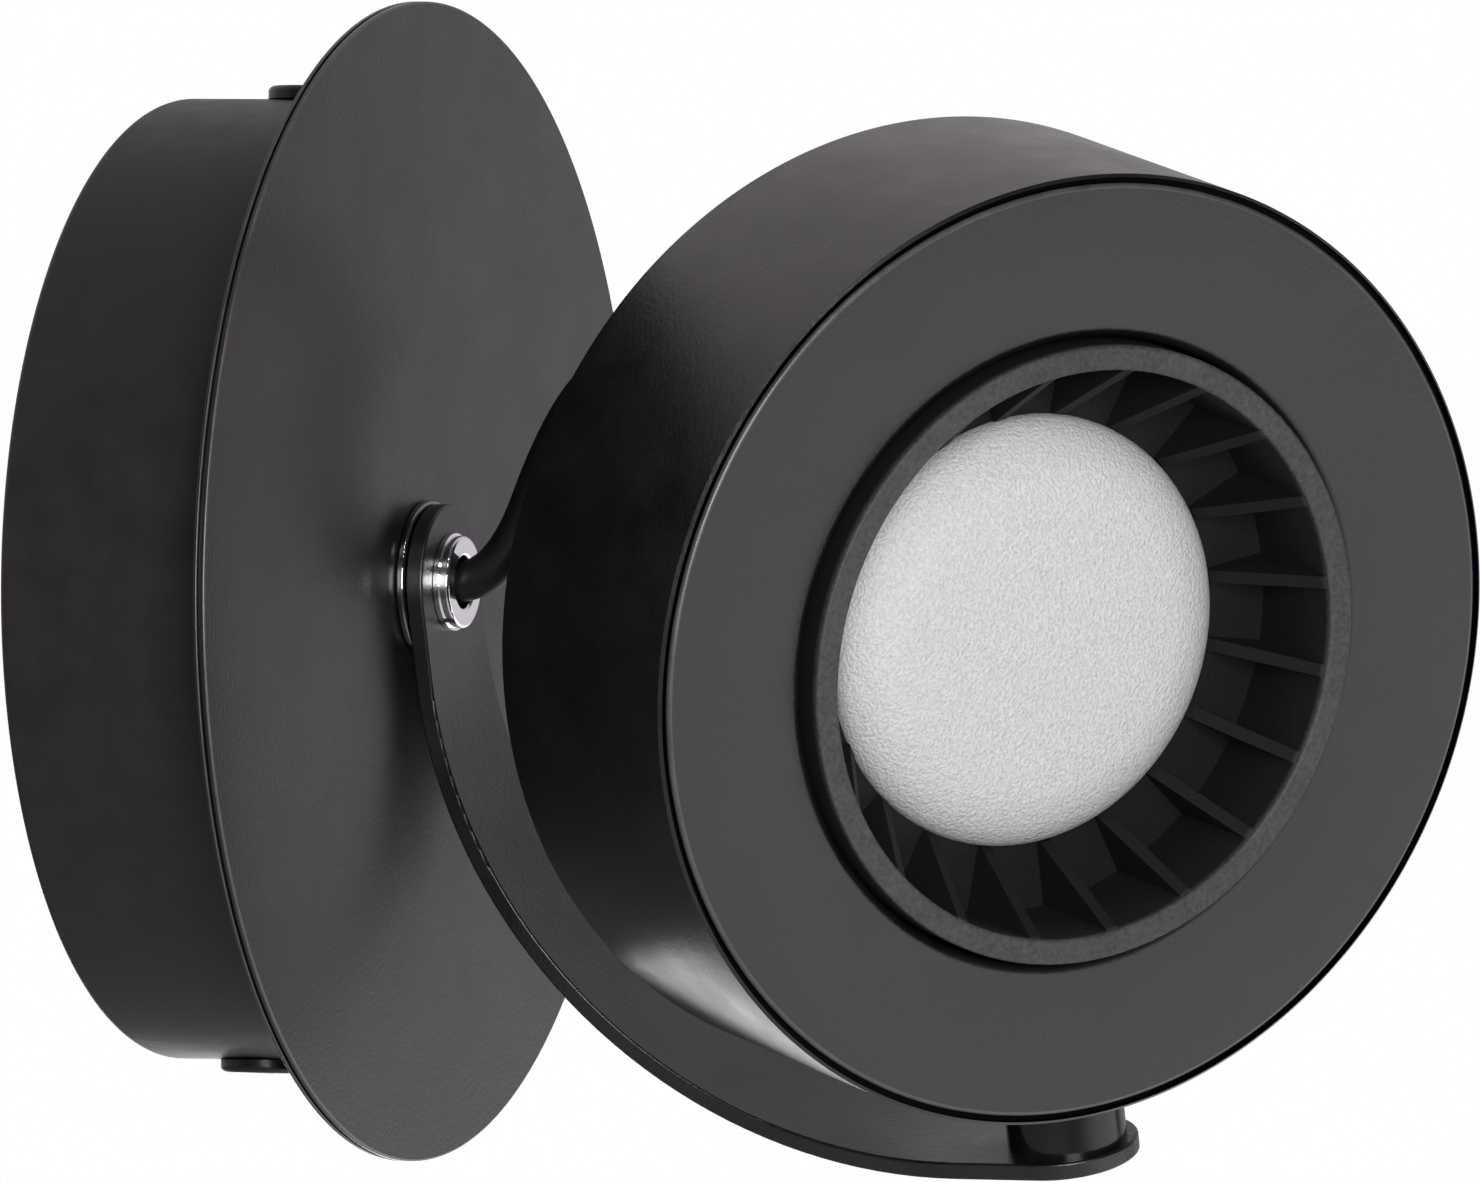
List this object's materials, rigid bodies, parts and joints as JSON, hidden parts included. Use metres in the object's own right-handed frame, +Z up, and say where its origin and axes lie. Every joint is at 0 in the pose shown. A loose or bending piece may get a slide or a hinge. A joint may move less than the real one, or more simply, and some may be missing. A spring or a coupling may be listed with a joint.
{
  "type": "wall spotlight",
  "caption": "Black wall spotlight: round base and cover plate, bent flat swivel arm, and a drum head with a ribbed lamp module and frosted diffuser.",
  "frame": {"origin": "centre of the base's back on the wall plane, midway between the two wall screw slots", "axes": "+Y into the wall, the light stands out along -Y, +Z up the wall, +X to the right facing the wall"},
  "size_m": [0.0926, 0.1013, 0.0931],
  "materials": {
    "black_coat": "satin black lacquer",
    "black_screws": "black finished screws",
    "black_gloss": "gloss black",
    "chrome": "polished",
    "zinc_steel": "zinc plated",
    "brass": "plain",
    "block_plastic": "white nylon",
    "driver_plastic": "white moulded plastic",
    "foam": "dark foam tape",
    "circuit_board": "green board",
    "dark_components": "moulded components",
    "lead_insulation": "brown insulation",
    "earth_insulation": "green and yellow insulation",
    "flex_rubber": "black sheath",
    "tie_nylon": "plain nylon",
    "module_plastic": "fine grained black plastic",
    "diffuser_plastic": "frosted white",
    "reflector_white": "white",
    "led_white": "white solder mask",
    "led_yellow": "phosphor",
    "sink_aluminium": "as machined"
  },
  "bodies": {
    "base": {"wall_bracket": "zinc_steel", "base_cup": "black_coat", "front_plate": "black_coat", "cup_screws": "black_screws", "pivot_bolt": "chrome", "pivot_washer": "chrome", "pivot_spacer": "black_gloss", "spring_washer": "zinc_steel", "lock_nut": "zinc_steel", "jam_nut": "zinc_steel", "terminal_block": "block_plastic", "terminal_clamps": "brass", "terminal_screws": "zinc_steel", "block_screw": "zinc_steel", "earth_washer": "zinc_steel", "earth_screw": "zinc_steel", "driver_pad": "foam", "driver_case": "driver_plastic", "driver_cover": "driver_plastic", "driver_board": "circuit_board", "driver_parts": "dark_components", "mains_leads": "lead_insulation", "earth_lead": "earth_insulation", "flex_tail": "flex_rubber", "base_tie": "tie_nylon"},
    "arm": {"swing_arm": "black_coat", "pivot_post": "black_gloss", "head_screw": "zinc_steel", "thrust_washer": "zinc_steel", "head_spring": "zinc_steel", "flex": "flex_rubber"},
    "head": {"head_shell": "black_coat", "pivot_bush": "black_gloss", "pivot_saddle": "zinc_steel", "back_cover": "black_coat", "cover_standoffs": "zinc_steel", "cover_screws": "black_screws", "flex_grommet": "flex_rubber", "head_tie": "tie_nylon", "module_body": "module_plastic", "diffuser": "diffuser_plastic", "reflector": "reflector_white", "led_board": "led_white", "led_chips": "led_yellow", "board_screws": "zinc_steel", "heat_sink": "sink_aluminium", "heat_sink_screws": "black_screws", "module_leads": "lead_insulation"}
  },
  "joints": [
    {"name": "arm_swivel", "type": "hinge", "parent": "base", "child": "arm", "pos_m": [0, 0, 0], "axis": [0, -1, 0], "range_deg": [-190.7, 149.3]},
    {"name": "head_swivel", "type": "hinge", "parent": "arm", "child": "head", "pos_m": [0, -0.0705, 0], "axis": [0.3535, 0, -0.9354], "range_deg": [-128, 52], "deforming": ["flex"]}
  ]
}
